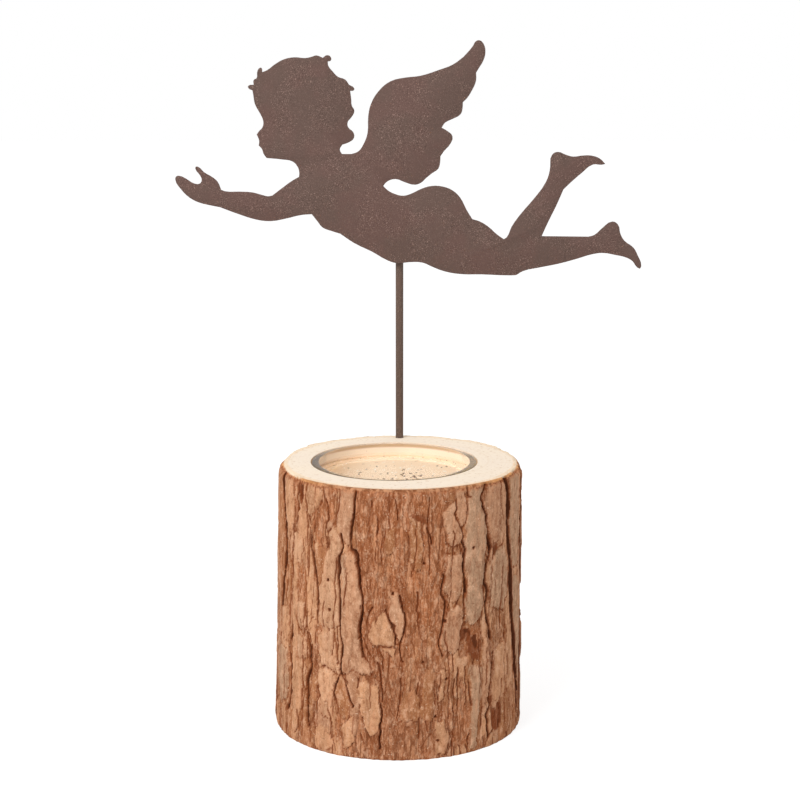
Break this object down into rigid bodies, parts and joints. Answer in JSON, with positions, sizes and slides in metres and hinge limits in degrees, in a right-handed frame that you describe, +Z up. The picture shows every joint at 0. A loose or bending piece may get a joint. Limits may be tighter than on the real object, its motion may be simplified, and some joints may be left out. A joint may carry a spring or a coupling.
{
  "type": "angel candle holder",
  "caption": "Bark-covered log candle holder with a shallow glass dish let into its sawn top and a flat flying cherub of sheet steel on a rod behind the dish.",
  "frame": {"origin": "centre of the log's base, on the surface it stands on", "axes": "+Z up along the log; the front, with the dish before the rod, faces -Y; +X to the right, where the cherub's feet are"},
  "size_m": [0.1805, 0.0947, 0.2564],
  "materials": {
    "log": "natural bark on the sides, raw sawn pale wood on the ends",
    "dish_glass": "clear, smooth",
    "rod_coat": "rust-brown textured coat, matt",
    "figure_coat": "rust-brown textured coat with fine light specks, matt"
  },
  "bodies": {
    "root": {"log_base": "log", "glass_dish": "dish_glass", "stem_rod": "rod_coat", "angel_figure": "figure_coat"}
  },
  "joints": []
}
